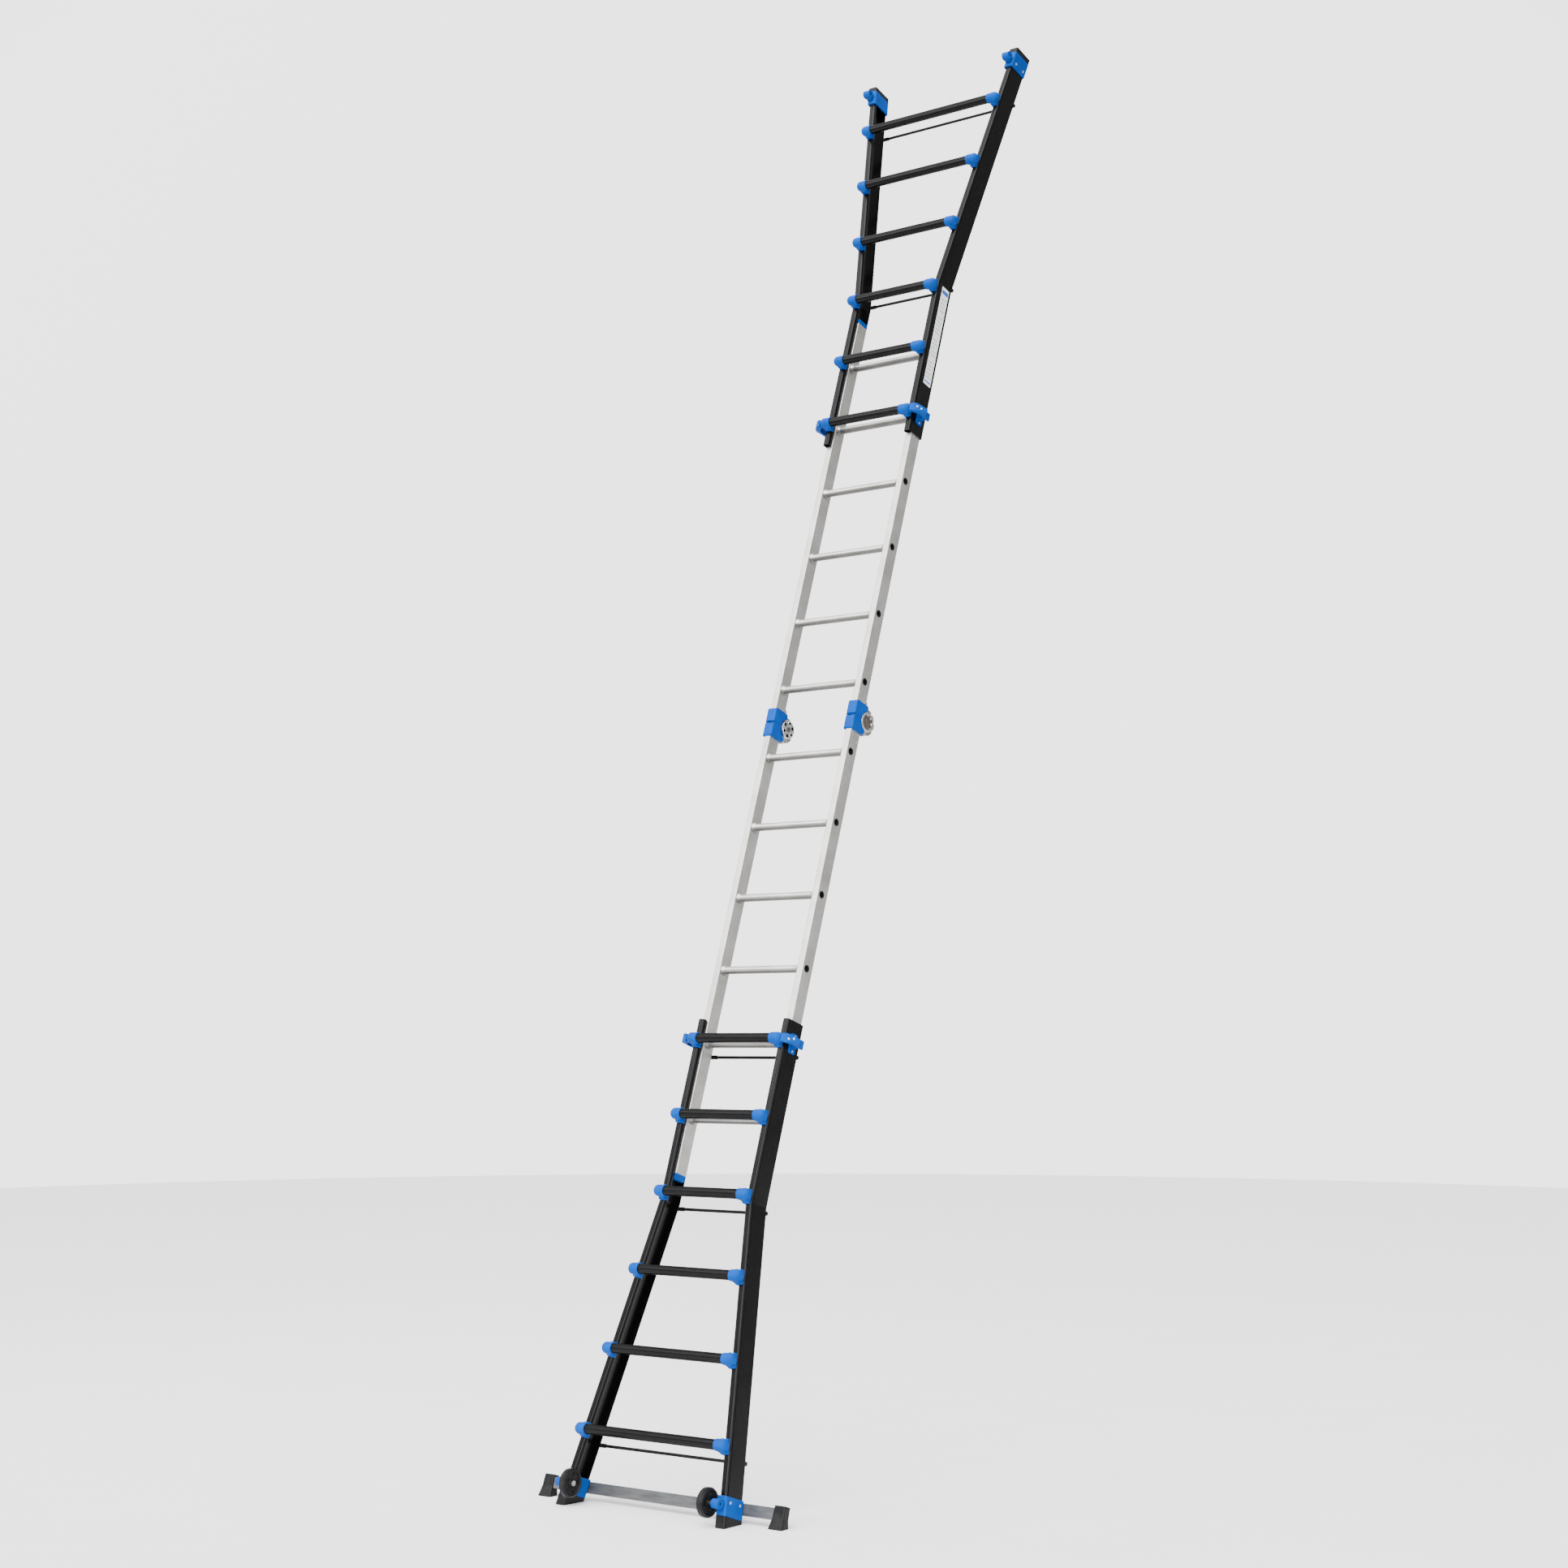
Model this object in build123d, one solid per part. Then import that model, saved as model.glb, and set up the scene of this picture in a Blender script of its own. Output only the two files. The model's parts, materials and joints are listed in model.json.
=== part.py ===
from build123d import *
import math
import os

# Hinged telescoping ladder, fully extended and leaning back.
# Every piece is modelled upright in the ladder's own coordinates:
#   X to the right, Y (called depth) to the back, Z (called s) along the ladder,
# with the hinge line's plane at s = 0 and the inner rungs' axes at depth 0.
# Parts are drawn once, in the upper right quarter, and mirrored to the others.
# LADDER_PLACE then leans the ladder back, with its feet flat on the floor.
# The origin is on the floor, midway between the feet.

# ---------------------------------------------------------------- dimensions
LEAN = 18.36                    # degrees from vertical
FLOOR_S = 2902.0                # from the hinge down to the floor, at depth 0

PITCH = 280.0                   # rung spacing
FIRST_RUNG = PITCH / 2
INNER_RUNGS = [FIRST_RUNG + PITCH * i for i in range(6)]
OUTER_RUNGS = [1260.0 + PITCH * i for i in range(6)]
LOCK_S = OUTER_RUNGS[0]         # the lock acts at the outer rung nearest the hinge

INNER_X0, INNER_X1 = 176.0, 203.0       # inner stile, inner and outer faces
INNER_D0, INNER_D1 = -23.0, 35.0        # inner stile, front and back faces
INNER_START = 50.0
INNER_END = 1742.0
INNER_WALL = 2.0

OUTER_X0, OUTER_X1 = 178.0, 208.0       # outer stile, inner and outer faces
OUTER_D0, OUTER_D1 = -47.0, 38.5        # outer stile, front and back faces
TUBE_BACK = -24.5                       # back of the closed tube on the stile's front
WEB = 3.0
LIP, FLANGE = 11.0, 27.0                 # narrow lip, and the back flange beyond it
FLANGE_START = 1206.0
OUTER_START = 1180.0
OUTER_END = 2874.0
KINK_S = 1840.0                         # the outer stile flares out from here
FLARE = 0.148                           # outward run per unit of length
FLARE_ANGLE = math.degrees(math.atan(FLARE))

INNER_RUNG_R, INNER_RUNG_BORE = 14.0, 11.5
SWAGE_R = 19.0
OUTER_RUNG_R, OUTER_RUNG_BORE = 17.5, 14.0
OUTER_RUNG_D = -70.0                    # depth of the outer rungs' axes
RUNG_RIBS = 16
SOCKET_R, SOCKET_LENGTH = 20.5, 48.0
SOCKET_REACH = 213.0                    # socket's domed end, on the straight part
SOCKET_CAP = 12.0                       # thickness of that closed end

ROD_D, ROD_R, ROD_SLEEVE_R = 46.0, 5.5, 7.5
ROD_OFFSET = 35.0                       # from a rung to the tie rod beyond it
ROD_RUNGS = (0, 2, 5)

PIVOT_D = 54.0                          # hinge axis, at s = 0
PIVOT_R = 7.0
RUN_FIT = 0.05                          # radial clearance of a running fit
CHEEK_R, TONGUE_R, RING_R = 50.0, 40.0, 36.0
CHEEK = 5.0                             # fork cheek thickness
DISC_R, DISC_X = 35.0, 160.0            # lock disc on the fork's inner cheek
COVER_X0, COVER_X1 = 168.0, 210.0
COVER_D0, COVER_D1 = -28.0, 44.0
COVER_END = 57.0
COVER_WALL = 3.0
SEAM = 1.0                              # half the seam between the two covers

RELEASE_D, RELEASE_S = 43.0, 70.0       # pivot of the hinge's release lever

PIN_R = 7.0
LOCK_CAP_X = 234.0
LEVER_X = 215.0                         # the lever's arm starts beside the socket's dome
SCREW_S, SCREW_R = 27.0, 2.5            # the housing's two screws

COLLAR_S, COLLAR_END = 2815.0, 2878.0
COLLAR_HALF = 20.5
COLLAR_D0, COLLAR_D1 = -54.0, 42.5
TOP_PAD = 2900.0                        # outer face of the rubber pads at the top
LUG_D, LUG_S, LUG_R = -77.0, 2846.0, 16.0
AXLE_R = 5.0
WHEEL_R, WHEEL_X0, WHEEL_X1 = 49.0, 290.0, 315.5

BAR_HALF, BAR_HEIGHT, BAR_DEPTH = 515.0, 38.0, 20.0
BAR_S = 2840.0
BAR_WALL = 2.0
BOOT_X0, BOOT_X1 = 488.0, 530.0

LABEL_S0, LABEL_S1 = 1402.0, 1834.0

UP, DOWN = "upper", "lower"
RIGHT, LEFT = "right", "left"

HINGE_RUN = FLOOR_S * math.sin(math.radians(LEAN))
HINGE_HEIGHT = FLOOR_S * math.cos(math.radians(LEAN))
FLOOR_SLOPE = math.tan(math.radians(LEAN))
LADDER_PLACE = Pos(0, HINGE_RUN, HINGE_HEIGHT) * Rot(-LEAN, 0, 0)


# ------------------------------------------------------------------- helpers
def block(x0, x1, d0, d1, s0, s1):
    """A box between two corners."""
    middle = Pos((x0 + x1) / 2, (d0 + d1) / 2, (s0 + s1) / 2)
    return middle * Box(x1 - x0, d1 - d0, s1 - s0)


def rod_x(radius, x0, x1, depth, s):
    """A cylinder along X."""
    return Pos((x0 + x1) / 2, depth, s) * Rot(0, 90, 0) * Cylinder(radius, x1 - x0)


def side_plate(points, x0, x1):
    """A plate with an outline of (depth, s) points, from x0 to x1."""
    return extrude(Plane.YZ.offset(x0) * make_face(Polyline(*points, close=True)), x1 - x0)


def splay(s):
    """How far the outer stile has moved outwards at this place."""
    return max(0.0, s - KINK_S) * FLARE


def rounded(x0, x1, d0, d1, radius):
    """A rounded rectangle in the plan view."""
    return Pos((x0 + x1) / 2, (d0 + d1) / 2) * RectangleRounded(x1 - x0, d1 - d0, radius)


def along(section, s0, s1):
    """Extrude a plan-view section, drawn on the straight part, along the outer stile."""
    pieces = []
    if s0 < KINK_S:
        pieces.append(extrude(Pos(0, 0, s0) * section, min(s1, KINK_S) - s0))
    if s1 > KINK_S:
        start = max(s0, KINK_S)
        length = (s1 - start) * math.hypot(1, FLARE)
        pieces.append(extrude(Pos(splay(start), 0, start) * section, length, dir=(FLARE, 0, 1)))
    return pieces[0] if len(pieces) == 1 else pieces[0] + pieces[1]


def floor_cut(gap=0.0):
    """Everything beyond the floor plane of the ladder's end, moved inwards by gap."""
    d0, d1 = -150.0, 150.0
    near = FLOOR_S - gap
    outline = [(d0, near - d0 * FLOOR_SLOPE), (d1, near - d1 * FLOOR_SLOPE), (d1, 3200), (d0, 3200)]
    return side_plate(outline, 0, 700)


def export(shape, name, half=UP, side=RIGHT):
    """Mirror a piece into its quarter, lean it back and write it."""
    if half == DOWN:
        shape = mirror(shape, about=Plane.XY)
    if side == LEFT:
        shape = mirror(shape, about=Plane.YZ)
    export_step(LADDER_PLACE * shape, f"parts/{name}.step")


def both_sides(shape):
    """The piece and its mirror image, as separate solids."""
    return Compound(children=shape.solids() + mirror(shape, about=Plane.YZ).solids())


# -------------------------------------------------------------- outer section
def outer_envelope():
    """The outer stile as if it were solid."""
    section = rounded(OUTER_X0, OUTER_X1, OUTER_D0, OUTER_D1, 1)
    return along(section, OUTER_START, OUTER_END)


def outer_stile():
    """Channel open towards the ladder's middle, with a closed tube on its front."""
    tube = rounded(OUTER_X0, OUTER_X1, OUTER_D0, TUBE_BACK, 10.5)
    hollow = rounded(OUTER_X0 + 2, OUTER_X1 - 2, OUTER_D0 + 2, TUBE_BACK - 2, 8.5)
    web = rounded(OUTER_X1 - WEB, OUTER_X1, TUBE_BACK - 12, OUTER_D1, 1)
    lip = rounded(OUTER_X1 - LIP, OUTER_X1, OUTER_D1 - 2.3, OUTER_D1, 1)
    flange = rounded(OUTER_X1 - FLANGE, OUTER_X1, OUTER_D1 - 2.3, OUTER_D1, 1)
    stile = along(tube + web + lip - hollow, OUTER_START, OUTER_END)
    stile = stile + along(flange, FLANGE_START, OUTER_END)
    for s in (-SCREW_S, SCREW_S):
        stile = stile - rod_x(SCREW_R, 200, 215, 0, LOCK_S + s)
    return stile - rod_x(PIN_R + 0.1, 200, 215, 0, LOCK_S)


def outer_rung(s):
    """Tube with lengthwise ribs for grip."""
    half = SOCKET_REACH + splay(s) - SOCKET_CAP
    ribs = PolarLocations(OUTER_RUNG_R - 1.4, RUNG_RIBS) * Rectangle(2.8, 2.6)
    section = Circle(OUTER_RUNG_R - 1.2) + Sketch() + ribs
    section = (section & Circle(OUTER_RUNG_R)) - Circle(OUTER_RUNG_BORE)
    tube = extrude(section, half, both=True)
    return Pos(0, OUTER_RUNG_D, s) * Rot(0, 90, 0) * tube


def rung_socket(s, envelope):
    """Domed socket on the rung's end: a funnel, and a saddle on the stile's front."""
    reach = SOCKET_REACH + splay(s)
    edge = OUTER_X0 + splay(s)
    barrel = rod_x(SOCKET_R, reach - SOCKET_LENGTH, reach, OUTER_RUNG_D, s)
    barrel = fillet(barrel.edges().filter_by(GeomType.CIRCLE).sort_by(Axis.X)[-1], 17)
    barrel = fillet(barrel.edges().filter_by(GeomType.CIRCLE).sort_by(Axis.X)[0], 1.5)
    narrow = Plane.YZ.offset(reach - SOCKET_LENGTH + 6) * Pos(OUTER_RUNG_D, s) * Circle(SOCKET_R - 1)
    wide = Plane.YZ.offset(edge + 3) * Pos(OUTER_RUNG_D + 9, s) * Ellipse(20, 25)
    end = Plane.YZ.offset(edge + 22) * Pos(OUTER_RUNG_D + 12, s) * Ellipse(14, 22)
    funnel = loft([narrow, wide]) + loft([wide, end])
    saddle = fillet(block(-4, 24, -60, -36, -23, 28).edges(), 4)
    saddle -= block(0, 40, OUTER_D0, 0, -60, 60)
    tilt = FLARE_ANGLE if s > KINK_S else 0
    saddle = Pos(edge, 0, s) * Rot(0, tilt, 0) * saddle
    bore = rod_x(OUTER_RUNG_R, 0, reach - SOCKET_CAP, OUTER_RUNG_D, s)
    return barrel + funnel + saddle - bore - envelope


def tie_rod(s):
    """Thin rod behind the stiles, with a thicker sleeve at each end."""
    edge = OUTER_X1 + splay(s) - 3
    rod = rod_x(ROD_R, -edge, edge, ROD_D, s)
    sleeve = rod_x(ROD_SLEEVE_R, edge - 42, edge, ROD_D, s)
    return rod + sleeve + mirror(sleeve, about=Plane.YZ)


def end_collar(envelope):
    """Sleeve on the stile's far end, with a lug for the wheel's axle on its front."""
    middle = (OUTER_X0 + OUTER_X1) / 2
    section = rounded(middle - COLLAR_HALF, middle + COLLAR_HALF, COLLAR_D0, COLLAR_D1, 6)
    sleeve = along(section, COLLAR_S, COLLAR_END)
    mouth = sleeve.edges().group_by(Axis.Z)[0]
    sleeve = chamfer(mouth, 1.2)
    centre = middle + splay(LUG_S)
    lug = rod_x(LUG_R, centre - 14, centre + 16, LUG_D, LUG_S)
    neck = block(centre - 12, centre + 12, LUG_D, COLLAR_D0 + 2, LUG_S - 16, LUG_S + 8)
    collar = sleeve + neck + lug
    bore = rod_x(AXLE_R, centre - 15, centre + 17, LUG_D, LUG_S)
    return collar - envelope - bore - bar_bolt()


def rubber_foot():
    """Rubber block under the lower collar, cut flat and grooved where it rests."""
    middle = (OUTER_X0 + OUTER_X1) / 2
    wide = rounded(middle - COLLAR_HALF, middle + COLLAR_HALF, COLLAR_D0 + 1, COLLAR_D1 - 1, 6)
    foot = along(wide, COLLAR_END, 2960) - floor_cut()
    groove_zone = floor_cut(2.0)
    for depth in (-32, -10, 12):
        foot = foot - (block(0, 700, depth, depth + 4, 2800, 2960) & groove_zone)
    return foot


def rubber_pad():
    """Rubber pad on the upper collar, which rests on the wall."""
    middle = (OUTER_X0 + OUTER_X1) / 2
    wide = rounded(middle - COLLAR_HALF, middle + COLLAR_HALF, COLLAR_D0 + 1, COLLAR_D1 - 1, 6)
    pad = along(wide, COLLAR_END, TOP_PAD)
    return fillet(pad.edges().group_by(Axis.Z)[-1], 3)


def wheel_axle():
    """Pin in the collar's lug, with a spacer and a retaining head."""
    centre = (OUTER_X0 + OUTER_X1) / 2 + splay(LUG_S)
    pin = rod_x(AXLE_R, WHEEL_X0 - 3, centre + 8, LUG_D, LUG_S)
    head = rod_x(9, WHEEL_X0 - 4, WHEEL_X0 - 0.5, LUG_D, LUG_S)
    spacer = rod_x(8, WHEEL_X1 + 0.5, centre - 14, LUG_D, LUG_S)
    return pin + head + spacer


def wheel():
    """Solid wheel with a rounded tread and a dished disc."""
    half = (WHEEL_X1 - WHEEL_X0) / 2
    bore = AXLE_R + RUN_FIT
    outline = [(bore, -half), (14, -half), (16, -half + 6), (38, -half + 6), (41, -half)]
    outline += [(WHEEL_R - 6, -half), (WHEEL_R, -half + 6), (WHEEL_R, half - 6), (WHEEL_R - 6, half)]
    outline += [(41, half), (38, half - 6), (16, half - 6), (14, half), (bore, half)]
    profile = make_face(Polyline(*[(r, 0, x) for r, x in outline], close=True))
    solid = revolve(profile, Axis.Z)
    holes = PolarLocations(27, 5) * Cylinder(6.5, 40)
    solid = solid - holes
    return Pos(WHEEL_X0 + half, LUG_D, LUG_S) * Rot(0, 90, 0) * solid


# ----------------------------------------------------------- stabiliser bar
def stabiliser_bar():
    """Rectangular tube bolted across the back of the two lower collars."""
    outer = block(-BAR_HALF, BAR_HALF, COLLAR_D1, COLLAR_D1 + BAR_DEPTH,
                  BAR_S - BAR_HEIGHT / 2, BAR_S + BAR_HEIGHT / 2)
    inner = block(-BAR_HALF, BAR_HALF, COLLAR_D1 + BAR_WALL, COLLAR_D1 + BAR_DEPTH - BAR_WALL,
                  BAR_S - BAR_HEIGHT / 2 + BAR_WALL, BAR_S + BAR_HEIGHT / 2 - BAR_WALL)
    bolt = bar_bolt()
    return outer - inner - bolt - mirror(bolt, about=Plane.YZ)


def bar_bolt():
    """Bolt through the bar into the collar's back wall."""
    x = (OUTER_X0 + OUTER_X1) / 2 + splay(BAR_S)
    back = COLLAR_D1 + BAR_DEPTH
    head = Pos(x, back + 1, BAR_S) * Rot(90, 0, 0) * Cylinder(8, 2)
    shank = Pos(x, (COLLAR_D1 - 3 + back) / 2, BAR_S) * Rot(90, 0, 0) * Cylinder(4, BAR_DEPTH + 3)
    return head + shank


def stabiliser_boot():
    """Rubber boot on the bar's end, flared where it rests on the floor."""
    middle = (BOOT_X0 + BOOT_X1) / 2
    depth = COLLAR_D1 + BAR_DEPTH / 2
    top = Pos(middle, depth, BAR_S - 27) * RectangleRounded(46, 29, 5)
    waist = Pos(middle, depth, BAR_S + 14) * RectangleRounded(48, 31, 5)
    base = Pos(middle, depth, BAR_S + 58) * RectangleRounded(61, 46, 7)
    boot = loft([top, waist]) + loft([waist, base])
    boot = boot - floor_cut()
    socket = block(0, BAR_HALF, COLLAR_D1, COLLAR_D1 + BAR_DEPTH,
                   BAR_S - BAR_HEIGHT / 2, BAR_S + BAR_HEIGHT / 2)
    return boot - socket


# ---------------------------------------------------------------- rung locks
def lock_housing():
    """Round housing on the outer stile that guides the lock pin."""
    flange = side_plate([(-19, -36), (19, -36), (19, 36), (-19, 36)], OUTER_X1, OUTER_X1 + 3)
    flange = fillet(flange.edges().filter_by(Axis.X), 8)
    barrel = rod_x(17, OUTER_X1, LOCK_CAP_X, 0, 0)
    barrel = fillet(barrel.edges().filter_by(GeomType.CIRCLE).sort_by(Axis.X)[-1], 2)
    cavity = rod_x(13, OUTER_X1 - 1, LOCK_CAP_X - 3, 0, 0)
    guide = rod_x(5 + RUN_FIT, OUTER_X1, LOCK_CAP_X + 1, 0, 0)
    holes = [rod_x(SCREW_R, OUTER_X1 - 1, OUTER_X1 + 4, 0, s) for s in (-SCREW_S, SCREW_S)]
    return Pos(0, 0, LOCK_S) * (flange + barrel - cavity - guide - holes[0] - holes[1])


def lock_screws():
    """Two screws that hold the lock housing."""
    screws = []
    for s in (-SCREW_S, SCREW_S):
        head = rod_x(4.5, OUTER_X1 + 3, OUTER_X1 + 5.5, 0, s)
        slot = block(OUTER_X1 + 4.5, OUTER_X1 + 6, -0.6, 0.6, s - 5, s + 5)
        shank = rod_x(SCREW_R, OUTER_X1 - WEB + 0.5, OUTER_X1 + 3, 0, s)
        screws.append(Pos(0, 0, LOCK_S) * (head + shank - slot))
    return Compound(children=[solid for screw in screws for solid in screw.solids()])


def lock_pin():
    """Sprung pin: wide tip, collar and thin stem, with its spring pressed short."""
    tip = rod_x(PIN_R, OUTER_X1 - WEB, OUTER_X1 + 2, 0, LOCK_S)
    collar = rod_x(11, OUTER_X1 + 2, OUTER_X1 + 4.5, 0, LOCK_S)
    stem = rod_x(5, OUTER_X1 + 4.5, LOCK_CAP_X + 5, 0, LOCK_S)
    wire, turns, pitch = 1.0, 2.5, 3.0
    spiral = Helix(pitch, turns * pitch, 8.0)
    coil = sweep((spiral ^ 0) * Circle(wire), path=spiral)
    coil = Pos(OUTER_X1 + 5.7, 0, LOCK_S) * Rot(0, 90, 0) * coil
    return Compound(children=(tip + collar + stem).solids() + coil.solids())


def lock_lever():
    """Grip on the lock pin, with a pointed wing that reaches out sideways."""
    x0 = LOCK_CAP_X + 1.5
    outline = [(x0, 19), (x0, -40), (229, -53), (LEVER_X, -60), (LEVER_X, -80), (225, -80)]
    outline += [(239, -71), (253, -54), (267, -31), (x0 + 14, -20), (x0 + 8, -4), (x0 + 7, 19)]
    plan = extrude(make_face(Polyline(*outline, close=True)), 17, both=True)
    front = [(LEVER_X, -13), (x0 - 4, -16), (x0 + 9, -15), (269, -4)]
    front += [(269, 4), (x0 + 9, 15), (x0 - 4, 16), (LEVER_X, 13)]
    taper = make_face(Polyline(*[(x, 0, z) for x, z in front], close=True))
    lever = plan & extrude(taper, 80, both=True)
    lever = Pos(0, 0, LOCK_S) * lever
    return lever - rod_x(5, x0 - 1, LOCK_CAP_X + 5, 0, LOCK_S)


# -------------------------------------------------------------- inner section
def inner_stile():
    """Hollow stile pierced by the rungs."""
    outer = rounded(INNER_X0, INNER_X1, INNER_D0, INNER_D1, 4)
    hollow = rounded(INNER_X0 + INNER_WALL, INNER_X1 - INNER_WALL,
                     INNER_D0 + INNER_WALL, INNER_D1 - INNER_WALL, 3)
    stile = extrude(Pos(0, 0, INNER_START) * (outer - hollow), INNER_END - INNER_START)
    for s in INNER_RUNGS:
        stile = stile - rod_x(INNER_RUNG_R, 150, 220, 0, s)
    return stile


def inner_rung(s):
    """Tube through both stiles, swaged wide against their inner faces."""
    tube = rod_x(INNER_RUNG_R, -INNER_X1, INNER_X1, 0, s)
    profile = make_face(Polyline((13, INNER_X0 - 16), (SWAGE_R - 3, INNER_X0 - 7),
                                 (SWAGE_R, INNER_X0 - 3), (SWAGE_R, INNER_X0),
                                 (13, INNER_X0), close=True))
    profile = Rot(90, 0, 0) * profile
    swage = Pos(0, 0, s) * Rot(0, 90, 0) * revolve(profile, Axis.Z)
    bore = rod_x(INNER_RUNG_BORE, -INNER_X1 - 1, INNER_X1 + 1, 0, s)
    return tube + swage + mirror(swage, about=Plane.YZ) - bore


def inner_plug():
    """Moulded plug in the inner stile's far end."""
    rim = extrude(Pos(0, 0, INNER_END) * rounded(INNER_X0, INNER_X1, INNER_D0, INNER_D1, 4), 10)
    nose_section = rounded(INNER_X0 + 1, INNER_X1 - 1, INNER_D0 + 1, INNER_D1 - 1, 4)
    nose = extrude(Pos(0, 0, INNER_END + 10) * nose_section, 12)
    cap = rim + chamfer(nose.edges().group_by(Axis.Z)[-1], 3)
    stem_section = rounded(INNER_X0 + INNER_WALL, INNER_X1 - INNER_WALL,
                           INNER_D0 + INNER_WALL, INNER_D1 - INNER_WALL, 3)
    stem = extrude(Pos(0, 0, INNER_END - 25) * stem_section, 25)
    return cap + stem


# --------------------------------------------------------------------- hinge
def stile_insert():
    """The part of a hinge casting that is riveted inside the stile."""
    section = rounded(INNER_X0 + INNER_WALL, INNER_X1 - INNER_WALL,
                      INNER_D0 + INNER_WALL, INNER_D1 - INNER_WALL, 3)
    return extrude(Pos(0, 0, INNER_START - 3) * section, 61)


def hinge_fork():
    """Lower casting: two round cheeks with lock notches, and a bridge below them."""
    end = INNER_START - 0.5
    arm = [(-16, 8), (PIVOT_D, 8), (PIVOT_D, 44), (30, end), (-16, end)]
    cheek = side_plate(arm, 0, CHEEK) + rod_x(CHEEK_R, 0, CHEEK, PIVOT_D, 0)
    for angle in (-20, 20, 60):
        turn = math.radians(angle)
        notch = rod_x(6, -1, CHEEK + 1, PIVOT_D + CHEEK_R * math.cos(turn), -CHEEK_R * math.sin(turn))
        cheek = cheek - notch
    inside = Pos(INNER_X0, 0, 0) * cheek
    outside = Pos(INNER_X1 - CHEEK, 0, 0) * cheek
    bridge = block(INNER_X0, INNER_X1, -16, 14, 34, end)
    fork = inside + outside + bridge + stile_insert()
    return fork - rod_x(PIVOT_R, 150, 230, PIVOT_D, 0)


def hinge_tongue():
    """Upper casting: one thick disc between the cheeks, and its arm."""
    x0, x1 = INNER_X0 + CHEEK + 0.5, INNER_X1 - CHEEK - 0.5
    arm = side_plate([(-16, 4), (PIVOT_D, 4), (32, 48), (-16, 48)], x0, x1)
    disc = rod_x(TONGUE_R, x0, x1, PIVOT_D, 0)
    return arm + disc + stile_insert() - rod_x(PIVOT_R + RUN_FIT, 150, 230, PIVOT_D, 0)


def hinge_cover():
    """Moulded shell round the hinge's half, cut out round the ring."""
    outline = [(COVER_D0 + 7, SEAM), (COVER_D1 + 6, SEAM), (COVER_D1, COVER_END - 6)]
    outline += [(COVER_D1 - 5, COVER_END), (COVER_D0 + 4, COVER_END), (COVER_D0, COVER_END - 5)]
    outline += [(COVER_D0, SEAM + 4)]
    shell = side_plate(outline, COVER_X0, COVER_X1)
    shell = fillet(shell.edges().group_by(Axis.Y)[0], 3)
    cavity = block(COVER_X0 + COVER_WALL, COVER_X1 - COVER_WALL, COVER_D0 + COVER_WALL, 90,
                   -5, INNER_START)
    stile = block(INNER_X0, INNER_X1, INNER_D0, INNER_D1, 0, 90)
    ring_gap = rod_x(RING_R + 2, 150, 230, PIVOT_D, 0)
    return shell - cavity - stile - ring_gap


def hinge_ring():
    """Bright ring on the outer cheek, and a notched lock disc on the inner one."""
    ring = rod_x(RING_R, INNER_X1, INNER_X1 + 7, PIVOT_D, 0)
    ring = fillet(ring.edges().filter_by(GeomType.CIRCLE).sort_by(Axis.X)[-1], 2)
    dish = rod_x(28, INNER_X1 + 3.5, INNER_X1 + 8, PIVOT_D, 0)
    disc = rod_x(DISC_R, DISC_X, INNER_X0, PIVOT_D, 0)
    disc = fillet(disc.edges().filter_by(GeomType.CIRCLE).sort_by(Axis.X)[0], 1.5)
    for i in range(6):
        turn = math.radians(30 + 60 * i)
        d, s = PIVOT_D + 25 * math.cos(turn), 25 * math.sin(turn)
        disc = disc - rod_x(7, DISC_X - 1, INNER_X0 - 4, d, s)
    hole = rod_x(PIVOT_R, 150, 230, PIVOT_D, 0)
    return Compound(children=(ring - dish - hole).solids() + (disc - hole).solids())


def hinge_pin():
    """Pivot pin with riveted heads."""
    shank = rod_x(PIVOT_R, DISC_X, INNER_X1 + 3.5, PIVOT_D, 0)
    outside = rod_x(11, INNER_X1 + 3.5, INNER_X1 + 7, PIVOT_D, 0)
    inside = rod_x(10, DISC_X - 3, DISC_X, PIVOT_D, 0)
    outside = fillet(outside.edges().filter_by(GeomType.CIRCLE).sort_by(Axis.X)[-1], 2)
    inside = fillet(inside.edges().filter_by(GeomType.CIRCLE).sort_by(Axis.X)[0], 2)
    return shank + outside + inside


def release_bracket():
    """Two ears on the stile's back that hold the release lever's pin."""
    x0, x1 = INNER_X0 + CHEEK + 0.5, INNER_X1 - CHEEK - 1.5
    bracket = block(x0, x1, INNER_D1, INNER_D1 + 1.5, 60, 82)
    for x in (x0, x1 - 3):
        ear = [(INNER_D1, 62), (46, 64), (49, 70), (46, 76), (INNER_D1, 80)]
        bracket = bracket + side_plate(ear, x, x + 3)
    return bracket + rod_x(2.5, x0, x1, RELEASE_D, RELEASE_S)


def release_lever():
    """Small pointed thumb lever that frees the hinge's lock."""
    x0, x1 = INNER_X0 + CHEEK + 4, INNER_X1 - CHEEK - 5
    outline = [(38.5, 60), (42, 53.5), (58, 51.5), (60, 54), (50, 62), (48.5, 72), (44, 76)]
    outline += [(38.5, 74)]
    lever = side_plate(outline, x0, x1)
    lever = fillet(lever.edges().filter_by(Axis.X), 1.0)
    return lever - rod_x(2.5 + RUN_FIT, x0 - 1, x1 + 1, RELEASE_D, RELEASE_S)


def label():
    """Blank plate on the right outer stile."""
    return block(OUTER_X1, OUTER_X1 + 0.6, -20, 26, LABEL_S0, LABEL_S1)


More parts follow.
